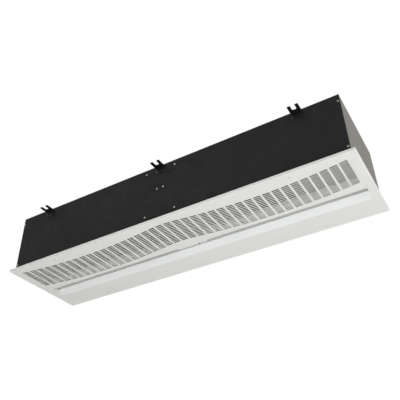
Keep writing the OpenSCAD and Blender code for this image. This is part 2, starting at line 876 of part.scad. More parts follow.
// Red receiver lens, a shallow dome under the bay floor
module receiver_lens() {
  color([0.75, 0.10, 0.08]) translate([lens_x, lens_y, 0]) {
    translate([0, 0, deck_z]) cylinder(r = lens_r, h = sheet);
    translate([0, 0, deck_top]) cylinder(r = lens_r + lens_flange, h = sheet);
    translate([0, 0, deck_z]) intersection() {
      sphere(r = lens_r);
      translate([0, 0, -lens_r]) cylinder(r = lens_r, h = lens_r);
    }
  }
}

// Cable gland in the top panel, over the electrical bay
module cable_gland() {
  color([0.15, 0.15, 0.16]) translate([0, inner_d / 2, 0]) difference() {
    union() {
      translate([0, 0, total_h - sheet]) cylinder(r = gland_hex_r, h = nut_h, $fn = 6);
      translate([0, 0, total_h - sheet]) cylinder(r = gland_neck_r, h = gland_h + sheet - gland_chamfer);
      translate([0, 0, total_h + gland_h - gland_chamfer])
        cylinder(r1 = gland_neck_r, r2 = gland_neck_r - gland_chamfer, h = gland_chamfer);
      translate([0, 0, roof_z - gland_inner]) cylinder(r = gland_thread_r, h = gland_inner + sheet);
    }
    translate([0, 0, roof_z - gland_inner - eps])
      cylinder(r = gland_bore_r, h = gland_inner + 2 * sheet + gland_h + 2 * eps);
  }
}

module gland_nut() {
  color([0.15, 0.15, 0.16]) translate([0, inner_d / 2, roof_z - nut_h]) difference() {
    cylinder(r = nut_hex_r, h = nut_h, $fn = 6);
    translate([0, 0, -eps]) cylinder(r = gland_thread_r, h = nut_h + 2 * eps);
  }
}

// Half outline of the tray across one of its directions: a flat underside with rounded bends
module tray_profile(half, r, h) {
  translate([-half, r]) square([2 * half, h - r]);
  translate([r - half, 0]) square([2 * (half - r), h]);
  for (s = [-1, 1]) translate([s * (half - r), r]) circle(r);
}

// Solid block of the tray's outside, or of its inside
module tray_block(half_x, half_y, r, h) {
  intersection() {
    translate([-half_x, 0, 0]) along_x() linear_extrude(2 * half_x) tray_profile(half_y, r, h);
    translate([0, half_y, 0]) rotate([90, 0, 0]) linear_extrude(2 * half_y) tray_profile(half_x, r, h);
  }
}

// Tray folded from one sheet, with the window of the intake field and the slot cut out
module tray() {
  difference() {
    tray_block(cover_half_l, cover_half_d, bend_r, rim_h);
    translate([0, 0, cover_t])
      tray_block(cover_half_l - cover_t, cover_half_d - cover_t, bend_r - cover_t, rim_h);
    block([-field_half_l, field_y0, -eps], [field_half_l, field_y1, cover_t + eps]);
    block([-slot_l / 2, slot_y0, -eps], [slot_l / 2, slot_y1, cover_t + eps]);
  }
}

// Bottom cover: the tray with its screw holes
module bottom_cover() {
  color([0.93, 0.93, 0.92]) difference() {
    tray();
    for (x = cover_screw_xs, sy = [-1, 1]) cover_screw_hole(x, sy * cover_screw_y);
    both_x() cover_screw_hole(cheek_screw_x, cheek_screw_y);
  }
}

// Stepped hole that takes a screw head flush with the cover's underside
module cover_screw_hole(x, y) {
  translate([x, y, -eps]) {
    cylinder(r = screw_r + hole_gap, h = cover_t + 2 * eps);
    cylinder(r = head_r + hole_gap, h = cover_head_h + eps);
  }
}

// Upright near lip of the slot, standing on the cover's sheet
module slot_lip_near() {
  color([0.93, 0.93, 0.92])
    block([-slot_l / 2 - cover_t, lip_y0, cover_t], [slot_l / 2 + cover_t, slot_y0, lip_h]);
}

// Cheek at each end of the slot, closing the space between the two lips
module slot_cheeks() {
  color([0.93, 0.93, 0.92]) both_x() translate([slot_l / 2, 0, 0]) along_x() linear_extrude(cover_t)
    polygon([
      [slot_y0, cover_t], [slot_y1 + cheek_foot, cover_t],
      [throat_y + cheek_foot, lip_h], [slot_y0, lip_h]
    ]);
}

// Far lip, bent up and inwards from the cover's own sheet in a soft round bend
module slot_lip_far() {
  reach = 2 * lip_bend_r;
  color([0.93, 0.93, 0.92]) translate([relief - slot_l / 2, 0, 0]) along_x()
      linear_extrude(slot_l - 2 * relief) {
    translate([slot_y1, lip_bend_r]) intersection() {
      difference() {
        circle(lip_bend_r);
        circle(lip_bend_r - cover_t);
      }
      polygon([
        [0, 0], [0, -reach],
        [-reach * tan(lip_angle / 2), -reach],
        [-reach * sin(lip_angle), -reach * cos(lip_angle)]
      ]);
    }
    translate([slot_y1 - lip_bend_r * sin(lip_angle), lip_fall]) rotate(180 - lip_angle)
      translate([0, -cover_t]) square([lip_run, cover_t]);
  }
}

// Slotted field, flush with the cover: columns of slots whose ends follow the wave
module intake_grille() {
  color([0.93, 0.93, 0.92]) linear_extrude(cover_t) difference() {
    translate([-field_half_l, field_y0]) square([2 * field_half_l, field_y1 - field_y0]);
    for (i = [0 : column_n - 1], row = [0 : row_n - 1])
      vent(column_x(i), row * row_pitch + vent_w / 2);
  }
}

// One slot, slanted along the wave, at a distance from its column's far end
module vent(x, along) {
  y = trough_y - wave(x) - along;
  rise = wave_slope(x) * column_w / 2;
  polygon([
    [x - column_w / 2, y + rise - vent_w / 2], [x + column_w / 2, y - rise - vent_w / 2],
    [x + column_w / 2, y - rise + vent_w / 2], [x - column_w / 2, y + rise + vent_w / 2]
  ]);
}

// Cover screws, with their flat heads flush with the cover's underside
module cover_screws() {
  color([0.55, 0.55, 0.54]) {
    for (x = cover_screw_xs, sy = [-1, 1]) up_screw(x, sy * cover_screw_y);
    both_x() up_screw(cheek_screw_x, cheek_screw_y);
  }
}

module up_screw(x, y) {
  translate([x, y, 0]) {
    cylinder(r = screw_r, h = cover_screw_l);
    cylinder(r = head_r, h = cover_head_h);
  }
}

// Shaft through the motor and both of its fans
module fan_shaft(x) {
  color([0.72, 0.73, 0.74]) translate([x, axis_y, axis_z]) rotate([0, 90, 0])
    cylinder(r = shaft_r, h = 2 * shaft_half, center = true);
}

module fan_shaft_left() {
  fan_shaft(-module_x);
}

module fan_shaft_right() {
  fan_shaft(module_x);
}

// Core on the shaft, inside the stator
module rotor_core(x) {
  color([0.50, 0.50, 0.52]) translate([x, axis_y, axis_z]) rotate([0, 90, 0]) difference() {
    cylinder(r = core_r, h = core_l, center = true);
    cylinder(r = shaft_r, h = core_l + 2 * eps, center = true);
  }
}

module rotor_core_left() {
  rotor_core(-module_x);
}

module rotor_core_right() {
  rotor_core(module_x);
}

// One forward-curved blade: a short arc of sheet that starts near the inner edge of the ring
module blade() {
  translate([impeller_r - blade_centre_in, -blade_centre_side, 0]) rotate([0, 0, blade_start])
    rotate_extrude(angle = blade_arc) translate([blade_curve_r, 0])
      square([blade_t, impeller_w - 2 * blade_end_gap]);
}

// Double-inlet impeller: middle disc, hub, blades and a ring at each end
module impeller(x) {
  ring_in = impeller_r - blade_depth;
  color([0.20, 0.21, 0.22]) translate([x, axis_y, axis_z]) rotate([0, 90, 0]) difference() {
    union() {
      cylinder(r = impeller_r, h = ring_t, center = true);
      cylinder(r = hub_r, h = hub_l, center = true);
      both_z() translate([0, 0, impeller_w / 2 - ring_t]) difference() {
        cylinder(r = impeller_r, h = ring_t);
        translate([0, 0, -eps]) cylinder(r = ring_in, h = ring_t + 2 * eps);
      }
      for (i = [0 : blade_n - 1])
        rotate([0, 0, i * 360 / blade_n]) translate([0, 0, blade_end_gap - impeller_w / 2]) blade();
    }
    cylinder(r = shaft_r, h = hub_l + 2 * eps, center = true);
  }
}

module impeller_1() {
  impeller(fan_xs[0]);
}

module impeller_2() {
  impeller(fan_xs[1]);
}

module impeller_3() {
  impeller(fan_xs[2]);
}

module impeller_4() {
  impeller(fan_xs[3]);
}

front_panel();
back_panel();
top_panel();
end_plate_left();
end_plate_right();
hanger_front_left();
hanger_front_middle();
hanger_front_right();
hanger_back_left();
hanger_back_middle();
hanger_back_right();
hanger_screws();
panel_screws();
bulkhead_left();
bulkhead_right();
bay_floor();
deck_front_left();
deck_front_right();
deck_back_left();
deck_back_right();
duct_top_left();
duct_top_right();
duct_ends();
duct_seal();
fan_housing_1();
fan_housing_2();
fan_housing_3();
fan_housing_4();
fan_cheeks();
inlet_rings();
motor_shell_left();
motor_shell_right();
motor_stators();
shaft_bearings();
motor_cradle_left();
motor_cradle_right();
cradle_bands();
board_rail();
circuit_board();
board_parts();
terminal_block();
run_capacitors();
receiver_lens();
cable_gland();
gland_nut();
bottom_cover();
slot_lip_near();
slot_lip_far();
slot_cheeks();
intake_grille();
cover_screws();
fan_shaft_left();
rotor_core_left();
impeller_1();
impeller_2();
fan_shaft_right();
rotor_core_right();
impeller_3();
impeller_4();
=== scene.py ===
"""Recessed ceiling air curtain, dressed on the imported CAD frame. All lengths are metres."""
import json
import math

import bmesh
import bpy
from mathutils import Matrix, Vector


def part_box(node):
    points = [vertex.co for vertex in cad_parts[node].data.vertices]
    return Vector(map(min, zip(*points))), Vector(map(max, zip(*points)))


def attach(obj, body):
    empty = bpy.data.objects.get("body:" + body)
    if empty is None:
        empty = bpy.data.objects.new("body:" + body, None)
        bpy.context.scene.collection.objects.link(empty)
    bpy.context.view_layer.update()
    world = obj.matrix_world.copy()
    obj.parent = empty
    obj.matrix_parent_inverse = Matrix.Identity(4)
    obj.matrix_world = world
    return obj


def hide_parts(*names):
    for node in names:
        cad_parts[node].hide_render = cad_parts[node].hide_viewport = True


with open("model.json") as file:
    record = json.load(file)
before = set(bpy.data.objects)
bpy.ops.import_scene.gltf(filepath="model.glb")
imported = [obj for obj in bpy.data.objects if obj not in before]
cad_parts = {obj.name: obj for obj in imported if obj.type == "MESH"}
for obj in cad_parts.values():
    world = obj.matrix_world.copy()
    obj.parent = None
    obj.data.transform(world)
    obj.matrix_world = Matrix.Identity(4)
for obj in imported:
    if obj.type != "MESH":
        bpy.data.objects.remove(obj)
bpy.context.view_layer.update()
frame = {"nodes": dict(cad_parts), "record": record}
NODES = frame["nodes"]

# Camera, solved from the photograph: it looks up at the unit from in front of its right-hand end
CAMERA_PLACE = Vector((1.0069, -1.6182, -1.1487))
CAMERA_RIGHT = Vector((0.85995, 0.51012, -0.01639))
CAMERA_DOWN = Vector((-0.30841, 0.49379, -0.81305))
CAMERA_FORWARD = Vector((-0.40666, 0.70423, 0.58197))
FOCAL_PIXELS = 553.24
FRAME_PIXELS = 400
SENSOR = 36.0
CLIP = (0.01, 100)

# World, floor and lights
WORLD_LEVEL = 0.25
FLOOR_Z = -2.6
FLOOR_HALF = 150
FLOOR_GLOW = 0.42
WHITE = (1, 1, 1)
AIM = Vector((0, 0, 0.1))
# Name, place, watts, side of the square lamp, colour
LIGHTS = [
    ("key", (-1.6, -2.6, 2.6), 20, 0.8, WHITE),
    ("low", (0.6, -2.6, -2.05), 41, 1.0, (0.95, 0.98, 1.0)),
    ("side", (2.6, -0.2, -0.3), 20, 1.0, WHITE),
    ("under", (0.9, 0.3, -1.9), 6, 1.2, WHITE),
    ("top", (-1.1, 2.3, 2.9), 75, 1.6, WHITE),
    ("left", (-2.8, 0.6, 0.7), 38, 1.2, WHITE),
]

# Screw heads
HEAD_R = 0.0038
HEAD_H = 0.0022
CROSS_R = 0.0021
CROSS_W = 0.0007
CROSS_DEPTH = 0.0012
CROSS_TAPER = 0.7
SCREW_SIDES = 24
FLAT_HEAD_H = 0.001
SUNK = 0.00001
SHANK_R = 0.002
SHANK_SIDES = 12
# Outlines of the two head kinds from the rim to the recess: share of the radius, share of the height
PAN_HEAD = [(1.0, 0.0), (1.0, 0.62), (0.93, 0.82), (0.8, 0.94), (0.62, 1.0)]
FLAT_HEAD = [(1.0, 0.0), (1.0, 0.9), (0.96, 1.0), (0.62, 1.0)]

# Rounding of sharp edges. In degrees: SHARP is the least angle that is rounded, COPLANAR the most that
# counts as one flat face, SMOOTH the most that is shaded smooth.
SHARP = 40
COPLANAR = 0.5
SMOOTH = 35
ROUND_STEPS = 2
# Points closer than this are one point
WELD = 0.000001
# An edge this near the slotted field's window lies on it
TOUCH = 0.0002
# Width of the rounding, by material slot
EDGE_ROUND = {
    "black_steel": 0.0004, "galvanised_sheet": 0.0003, "bracket_black": 0.0005,
    "white_cover": 0.0004, "pale_floor": 0.0003, "black_plastic": 0.0005,
    "cream_plastic": 0.0004, "capacitor_can": 0.0006,
}
# Edges shorter than this stay as they are, except in the slots where the short ones count too
LONG_EDGE = 0.004
SHORT_EDGED = ("bracket_black", "capacitor_can", "cream_plastic")
# Nodes in those slots that other pieces replace
OTHERWISE_DRESSED = ("intake_grille", "hanger_screws")

# Slotted field: the columns wave to the front and back along the length, as the photo shows
COLUMN_N = 40
COLUMN_PITCH = 0.03646
COLUMN_W = 0.0288
COLUMN_LEN = 0.14
# Far end of the columns in the trough, the wave's height, half the width of its crest, the trough's place
TROUGH_Y = 0.001
WAVE_H = 0.029
CREST_HALF = 0.074
TROUGH_X = 0.384
ROW_N = 14
VENT_W = 0.0062
VENT_CORNER = 0.0012
VENT_SOFT = 0.0006
VENT_ARC = 4
# Rolled edge under each slot: how far out of the slot, and how high over the underside
VENT_ROLL = [(VENT_SOFT, 0), (0.55 * VENT_SOFT, 0.2 * VENT_SOFT),
             (0.2 * VENT_SOFT, 0.55 * VENT_SOFT), (0, VENT_SOFT)]
ROW_PITCH = (COLUMN_LEN - VENT_W) / (ROW_N - 1)
# Flat sheet beside a slot that belongs to its cell
CELL_SIDE = 0.0016
SHEET = 0.0008
SLOPE_STEP = 0.001

# Colour sockets of a Mix node
MIX_A, MIX_B, MIX_RESULT = 6, 7, 2
# Most values of a noise texture lie between these
NOISE_SPAN = (0.3, 0.7)


# ---------------------------------------------------------------- materials
class Paint:
    """A node material under construction: a Principled shader and short calls that add nodes to it."""

    def __init__(self, name, color, roughness, metallic=0.0, specular=0.5):
        self.material = bpy.data.materials.new(name)
        self.material.use_nodes = True
        self.tree = self.material.node_tree
        self.shader = self.tree.nodes["Principled BSDF"]
        self.color = srgb(color)
        self.shader.inputs["Base Color"].default_value = (*self.color, 1)
        self.shader.inputs["Roughness"].default_value = roughness
        self.shader.inputs["Metallic"].default_value = metallic
        self.shader.inputs["Specular IOR Level"].default_value = specular
        self.roughness = roughness
        self.place = self.add("ShaderNodeTexCoord").outputs["Object"]
        self.height = None

    def add(self, kind, **settings):
        node = self.tree.nodes.new(kind)
        for key, value in settings.items():
            setattr(node, key, value)
        return node

    def link(self, a, b):
        self.tree.links.new(a, b)

    def scaled(self, scale):
        mapping = self.add("ShaderNodeMapping")
        mapping.inputs["Scale"].default_value = scale
        self.link(self.place, mapping.inputs["Vector"])
        return mapping.outputs["Vector"]

    def noise(self, size, detail=4, stretch=(1, 1, 1)):
        """Noise whose patches are about size metres across."""
        node = self.add("ShaderNodeTexNoise")
        node.inputs["Scale"].default_value = 1 / size
        node.inputs["Detail"].default_value = detail
        self.link(self.scaled(stretch), node.inputs["Vector"])
        return node.outputs["Fac"]

    def cells(self, size, stretch=(1, 1, 1)):
        """Crystal-like cells of about size metres, each with its own grey."""
        node = self.add("ShaderNodeTexVoronoi")
        node.inputs["Scale"].default_value = 1 / size
        self.link(self.scaled(stretch), node.inputs["Vector"])
        grey = self.add("ShaderNodeSeparateColor")
        self.link(node.outputs["Color"], grey.inputs["Color"])
        return grey.outputs["Red"]

    def ramp(self, factor, low, high):
        """Maps the span of a factor's usual values to low..high."""
        node = self.add("ShaderNodeMapRange")
        node.inputs["From Min"].default_value = NOISE_SPAN[0]
        node.inputs["From Max"].default_value = NOISE_SPAN[1]
        node.inputs["To Min"].default_value = low
        node.inputs["To Max"].default_value = high
        self.link(factor, node.inputs["Value"])
        return node.outputs["Result"]

    def tint(self, factor, low, high):
        """Multiplies the colour by a grey or colour that runs from low to high with the factor."""
        mix = self.add("ShaderNodeMix", data_type="RGBA")
        mix.inputs[MIX_A].default_value = (*level(low), 1)
        mix.inputs[MIX_B].default_value = (*level(high), 1)
        self.link(self.ramp(factor, 0, 1), mix.inputs["Factor"])
        product = self.add("ShaderNodeMix", data_type="RGBA", blend_type="MULTIPLY")
        product.inputs["Factor"].default_value = 1
        source = self.shader.inputs["Base Color"]
        if source.is_linked:
            self.link(source.links[0].from_socket, product.inputs[MIX_A])
        else:
            product.inputs[MIX_A].default_value = source.default_value
        self.link(mix.outputs[MIX_RESULT], product.inputs[MIX_B])
        self.link(product.outputs[MIX_RESULT], source)
        return self

    def rough(self, factor, spread):
        """Lets the roughness run from spread below its value to spread above it with the factor."""
        self.link(self.ramp(factor, self.roughness - spread, self.roughness + spread),
                  self.shader.inputs["Roughness"])
        return self

    def bump(self, factor, depth, strength=1.0):
        """Relief of about depth metres, added over any bump already there."""
        node = self.add("ShaderNodeBump")
        node.inputs["Strength"].default_value = strength
        node.inputs["Distance"].default_value = depth
        self.link(factor, node.inputs["Height"])
        if self.height is not None:
            self.link(self.height, node.inputs["Normal"])
        self.height = node.outputs["Normal"]
        self.link(self.height, self.shader.inputs["Normal"])
        return self


def level(value):
    """A colour, from a grey level or from a colour as it is."""
    return value if isinstance(value, tuple) else (value, value, value)


def srgb(color):
    """Linear values of a colour written as 0..255 screen values."""
    shares = (c / 255 for c in color)
    return tuple(c / 12.92 if c <= 0.04045 else ((c + 0.055) / 1.055) ** 2.4 for c in shares)


def black_coat():
    """Charcoal powder coat: a fine grain, a faint mottle and a little dust."""
    p = Paint("charcoal_coat", (41, 42, 41), 0.66, specular=0.07)
    p.tint(p.noise(0.16, 5), 0.92, 1.08)
    p.tint(p.noise(0.0016, 2), 0.9, 1.1)
    p.rough(p.noise(0.05, 4), 0.07)
    return p.bump(p.noise(0.0011, 3), 0.00012, 0.5).material


def bracket_coat():
    p = Paint("bracket_coat", (22, 22, 22), 0.5, specular=0.25)
    p.tint(p.noise(0.012, 4), 0.8, 1.2)
    p.rough(p.noise(0.008, 3), 0.08)
    return p.bump(p.noise(0.0009, 3), 0.0001, 0.5).material


def white_coat(name="white_coat", color=(237, 236, 233)):
    """White powder coat with a slight orange peel and a trace of uneven gloss."""
    p = Paint(name, color, 0.42, specular=0.4)
    p.tint(p.noise(0.22, 3), (0.985, 0.985, 0.98), 1.0)
    p.rough(p.noise(0.06, 4), 0.05)
    return p.bump(p.noise(0.0022, 2), 0.00008, 0.35).material


def galvanised(name="galvanised_end", color=(106, 103, 96), stain=(0.87, 0.82, 0.74)):
    """Dull galvanised sheet: spangle cells, rolling lines and a warm haze."""
    p = Paint(name, color, 0.48, metallic=0.4, specular=0.3)
    p.tint(p.cells(0.008), 0.96, 1.04)
    p.tint(p.noise(0.045, 4, (1, 1, 0.3)), stain, 1.04)
    p.tint(p.noise(0.002, 3, (1, 0.04, 1)), 0.96, 1.04)
    p.rough(p.cells(0.008), 0.025)
    return p.bump(p.noise(0.0015, 3, (1, 0.05, 1)), 0.00008, 0.4).material


def zinc(name="zinc_plate", color=(160, 159, 154), metallic=0.6):
    p = Paint(name, color, 0.4, metallic=metallic)
    p.tint(p.noise(0.0022, 3), 0.82, 1.12)
    p.rough(p.noise(0.0015, 3), 0.1)
    return p.bump(p.noise(0.0007, 2), 0.00004, 0.4).material


def pale_floor_coat():
    p = Paint("pale_floor_coat", (234, 233, 229), 0.5, specular=0.4)
    p.tint(p.noise(0.05, 4), 0.95, 1.0)
    p.rough(p.noise(0.03, 3), 0.06)
    return p.bump(p.noise(0.0014, 3), 0.00006, 0.4).material


def foam():
    p = Paint("foam", (222, 222, 218), 0.9, specular=0.2)
    p.tint(p.cells(0.0012), 0.86, 1.04)
    return p.bump(p.noise(0.001, 4), 0.0006, 0.9).material


def motor_coat():
    p = Paint("motor_coat", (60, 62, 66), 0.46, specular=0.4)
    p.tint(p.noise(0.02, 4), 0.88, 1.1)
    p.rough(p.noise(0.01, 3), 0.08)
    return p.bump(p.noise(0.0012, 3), 0.0001, 0.5).material


def laminations():
    p = Paint("laminations", (120, 108, 98), 0.5, metallic=0.7)
    p.tint(p.noise(0.0007, 2, (1, 0.02, 0.02)), 0.7, 1.2)
    p.rough(p.noise(0.004, 3), 0.1)
    return p.bump(p.noise(0.0007, 1, (1, 0.02, 0.02)), 0.0002, 0.6).material


def ground_steel():
    p = Paint("ground_steel", (188, 189, 191), 0.22, metallic=1.0)
    p.tint(p.noise(0.003, 3), 0.92, 1.05)
    p.rough(p.noise(0.0008, 3, (1, 0.05, 0.05)), 0.07)
    return p.bump(p.noise(0.0006, 2, (1, 0.04, 0.04)), 0.00003, 0.4).material


def impeller_coat():
    p = Paint("impeller_coat", (58, 60, 63), 0.45, metallic=0.3)
    p.tint(p.noise(0.015, 4), 0.85, 1.15)
    p.rough(p.noise(0.006, 3), 0.09)
    return p.bump(p.noise(0.001, 3), 0.00008, 0.5).material


def board_laminate():
    p = Paint("board_laminate", (28, 92, 52), 0.4, specular=0.5)
    p.tint(p.cells(0.006, (1, 3, 1)), 0.8, 1.15)
    p.rough(p.noise(0.004, 3), 0.08)
    return p.bump(p.noise(0.0012, 2), 0.00006, 0.5).material


def plastic(name, color, roughness=0.45):
    p = Paint(name, color, roughness, specular=0.45)
    p.tint(p.noise(0.01, 4), 0.93, 1.06)
    p.rough(p.noise(0.004, 3), 0.06)
    return p.bump(p.noise(0.0007, 3), 0.00005, 0.5).material


def can_metal():
    p = Paint("can_metal", (196, 197, 195), 0.38, metallic=0.85)
    p.tint(p.noise(0.0012, 2, (1, 1, 0.03)), 0.94, 1.04)
    p.rough(p.noise(0.01, 3), 0.07)
    return p.bump(p.noise(0.001, 2, (1, 1, 0.04)), 0.00004, 0.4).material


def red_glass():
    p = Paint("red_lens", (190, 32, 26), 0.16, specular=0.6)
    p.shader.inputs["Coat Weight"].default_value = 0.6
    p.shader.inputs["Coat Roughness"].default_value = 0.08
    p.tint(p.noise(0.002, 2), 0.85, 1.1)
    p.rough(p.noise(0.001, 2), 0.04)
    return p.bump(p.noise(0.0008, 2), 0.00002, 0.3).material


MATERIALS = {
    "black_steel": black_coat(),
    "galvanised_sheet": galvanised(),
    # The inner sheet is galvanised sheet darkened to a dark grey: painted shade of the unit's interior,
    # where little light reaches
    "inner_sheet": galvanised("galvanised_inner_painted_shade", (66, 66, 64), (0.95, 0.94, 0.92)),
    "bracket_black": bracket_coat(),
    "zinc_screw": zinc(),
    "pale_floor": pale_floor_coat(),
    "foam_rubber": foam(),
    "motor_paint": motor_coat(),
    "stator_pack": laminations(),
    "bearing_steel": ground_steel(),
    "board_laminate": board_laminate(),
    "black_plastic": plastic("black_plastic", (30, 30, 32)),
    "cream_plastic": plastic("cream_plastic", (216, 214, 204)),
    "capacitor_can": can_metal(),
    "red_lens": red_glass(),
    "white_cover": white_coat(),
    "impeller_sheet": impeller_coat(),
}
# Brighter, cooler copy of the cover's white coat for the slanted slot lips: painted highlight standing in
# for the cool light from the front and below that falls on them
LIT_LIP_COAT = white_coat("lip_coat_painted_highlight", (240, 241, 241))
# Finishes of single pieces that differ a little from their slot's. The lips' brighter, cooler white is
# painted highlight.
SPECIAL = {
    "slot_lip_near_form": LIT_LIP_COAT,
    "slot_lip_far_form": LIT_LIP_COAT,
    "cover_screw_heads": zinc("zinc_pale", (222, 221, 217), 0.25),
}


def dress_nodes():
    """Gives every CAD node the material of its slot."""
    for entry in frame["record"]["subparts"]:
        node = NODES[entry["node"]]
        node.data.materials.clear()
        node.data.materials.append(MATERIALS[entry["material_slot"]])


# ---------------------------------------------------------------- pieces
def new_piece(name, mesh, body, slot, *nodes):
    """Links a finished bmesh as a piece that rides on a body and stands for CAD nodes."""
    data = bpy.data.meshes.new(name)
    mesh.to_mesh(data)
    mesh.free()
    data.materials.append(SPECIAL.get(name, MATERIALS[slot]))
    piece = bpy.data.objects.new(name, data)
    bpy.context.scene.collection.objects.link(piece)
    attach(piece, body)
    if nodes:
        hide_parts(*nodes)
    return piece


def wave(x):
    """How far the column at x is moved towards the front, in metres."""
    fall = WAVE_H / (TROUGH_X * (TROUGH_X - CREST_HALF))
    if abs(x) < CREST_HALF:
        return WAVE_H - fall * (TROUGH_X - CREST_HALF) / CREST_HALF * x * x
    return fall * (TROUGH_X - abs(x)) ** 2


def wave_slope(x):
    return (wave(x + SLOPE_STEP) - wave(x - SLOPE_STEP)) / (2 * SLOPE_STEP)


def round_outline(half_x, half_y, corner):
    """Points round a slot with rounded corners, about its centre."""
    points = []
    for quarter, (sx, sy) in enumerate(((1, 1), (-1, 1), (-1, -1), (1, -1))):
        for i in range(VENT_ARC + 1):
            a = math.pi / 2 * (quarter + i / VENT_ARC)
            points.append((sx * (half_x - corner) + corner * math.cos(a),
                           sy * (half_y - corner) + corner * math.sin(a)))
    return points


def cell_outline(half_x, half_y, corner):
    """Points on the edge of a slot's cell, one for each point of the slot's outline."""
    points = []
    for sx, sy in ((1, 1), (-1, 1), (-1, -1), (1, -1)):
        arc = []
        for i in range(VENT_ARC + 1):
            share = 2 * i / VENT_ARC
            arc.append((sx * (half_x - corner * max(0, share - 1)),
                        sy * (half_y - corner * max(0, 1 - share))))
        points += arc if sx * sy > 0 else arc[::-1]
    return points


def add_ring(mesh, points, z):
    """Vertices at the points, at height z."""
    return [mesh.verts.new((x, y, z)) for x, y in points]


def bridge(mesh, a, b, flip):
    """Faces between two closed rings of as many vertices, turned the other way if flip is set."""
    n = len(a)
    for i in range(n):
        j = (i + 1) % n
        face = (a[i], a[j], b[j], b[i])
        mesh.faces.new(face[::-1] if flip else face)


def vent_cell(mesh, shear, low, high):
    """One slot: flat rings on both faces, a soft punched edge below and the slot's wall."""
    half_x, half_y = COLUMN_W / 2, VENT_W / 2
    cell = shear(cell_outline(half_x + CELL_SIDE, ROW_PITCH / 2, VENT_CORNER))
    rings = [add_ring(mesh, cell, low)]
    for grow, rise in VENT_ROLL:
        edge = round_outline(half_x + grow, half_y + grow, VENT_CORNER + grow)
        rings.append(add_ring(mesh, shear(edge), low + rise))
    hole = shear(round_outline(half_x, half_y, VENT_CORNER))
    rings += [add_ring(mesh, hole, high), add_ring(mesh, cell, high)]
    for a, b in zip(rings, rings[1:]):
        bridge(mesh, a, b, True)


def flat_quad(mesh, corners, low, high):
    """A patch of whole sheet beside the slots: its underside and its upper side."""
    mesh.faces.new([mesh.verts.new((x, y, low)) for x, y in corners][::-1])
    mesh.faces.new([mesh.verts.new((x, y, high)) for x, y in corners])


def grille_column(mesh, x, low, high, field):
    """One column of slots, with the solid sheet at its near and far end."""
    slope = wave_slope(x)
    half = COLUMN_W / 2 + CELL_SIDE

    def y_at(dx, along):
        """The y of a point at dx from the column's middle and along the column from its far end."""
        return TROUGH_Y - wave(x) - slope * dx - along

    for row in range(ROW_N):
        centre_y = y_at(0, VENT_W / 2 + row * ROW_PITCH)

        def shear(points, centre_y=centre_y):
            return [(x + px, centre_y + py - slope * px) for px, py in points]

        vent_cell(mesh, shear, low, high)
    rest = (ROW_PITCH - VENT_W) / 2
    flat_quad(mesh, [(x - half, y_at(-half, -rest)), (x + half, y_at(half, -rest)),
                     (x + half, field[1].y), (x - half, field[1].y)], low, high)
    flat_quad(mesh, [(x - half, field[0].y), (x + half, field[0].y),
                     (x + half, y_at(half, COLUMN_LEN + rest)), (x - half, y_at(-half, COLUMN_LEN + rest))],
              low, high)


def intake_grille():
    """Slotted field with soft punched edges, in the same window and the same plane as the CAD sheet."""
    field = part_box("intake_grille")
    low, high = field[0].z, field[0].z + SHEET
    mesh = bmesh.new()
    half = COLUMN_W / 2 + CELL_SIDE
    xs = [(i - (COLUMN_N - 1) / 2) * COLUMN_PITCH for i in range(COLUMN_N)]
    for x in xs:
        grille_column(mesh, x, low, high, field)
    edges = [field[0].x] + [x + side * half for x in xs for side in (-1, 1)] + [field[1].x]
    for a, b in zip(edges[::2], edges[1::2]):
        flat_quad(mesh, [(a, field[0].y), (b, field[0].y), (b, field[1].y), (a, field[1].y)], low, high)
    bmesh.ops.remove_doubles(mesh, verts=mesh.verts, dist=WELD)
    new_piece("intake_grille_sheet", mesh, "cover", "white_cover", "intake_grille")


def screw_head(mesh, place, out, height, profile):
    """A screw head with a cross recess, standing on its place and pointing out."""
    turn = out.to_track_quat("Z", "Y").to_matrix().to_4x4()
    where = Matrix.Translation(place) @ turn
    turns = [2 * math.pi * i / SCREW_SIDES for i in range(SCREW_SIDES)]
    rings = []
    for r, z in profile:
        circle = [Vector((HEAD_R * r * math.cos(a), HEAD_R * r * math.sin(a), height * z)) for a in turns]
        rings.append([mesh.verts.new(where @ point) for point in circle])
    for a, b in zip(rings, rings[1:]):
        bridge(mesh, a, b, False)
    cross_recess(mesh, where, rings[-1], height)


def cross_recess(mesh, where, rim, height):
    """The head's middle: a flat top, a cross-shaped pit in it and the pit's floor."""
    arm, half = CROSS_R, CROSS_W / 2
    outline = []
    for quarter in range(4):
        a = quarter * math.pi / 2
        for x, y in ((arm, -half), (arm, half), (half, half)):
            outline.append((x * math.cos(a) - y * math.sin(a), x * math.sin(a) + y * math.cos(a)))
    top = [mesh.verts.new(where @ Vector((x, y, height))) for x, y in outline]
    floor = [mesh.verts.new(where @ Vector((CROSS_TAPER * x, CROSS_TAPER * y, height - CROSS_DEPTH)))
             for x, y in outline]
    for i, vert in enumerate(rim):
        after = rim[(i + 1) % SCREW_SIDES]
        near = top[i // 2]
        if i % 2 == 0:
            mesh.faces.new((vert, after, near))
        else:
            mesh.faces.new((vert, after, top[(i // 2 + 1) % len(top)], near))
    bridge(mesh, top, floor, False)
    mesh.faces.new(floor)


def shank(mesh, place, out, length):
    """The plain shank behind a head, reaching into the sheet."""
    turn = out.to_track_quat("Z", "Y").to_matrix().to_4x4()
    where = Matrix.Translation(place - out * length / 2) @ turn
    bmesh.ops.create_cone(mesh, cap_ends=True, segments=SHANK_SIDES, radius1=SHANK_R, radius2=SHANK_R,
                          depth=length, matrix=where)


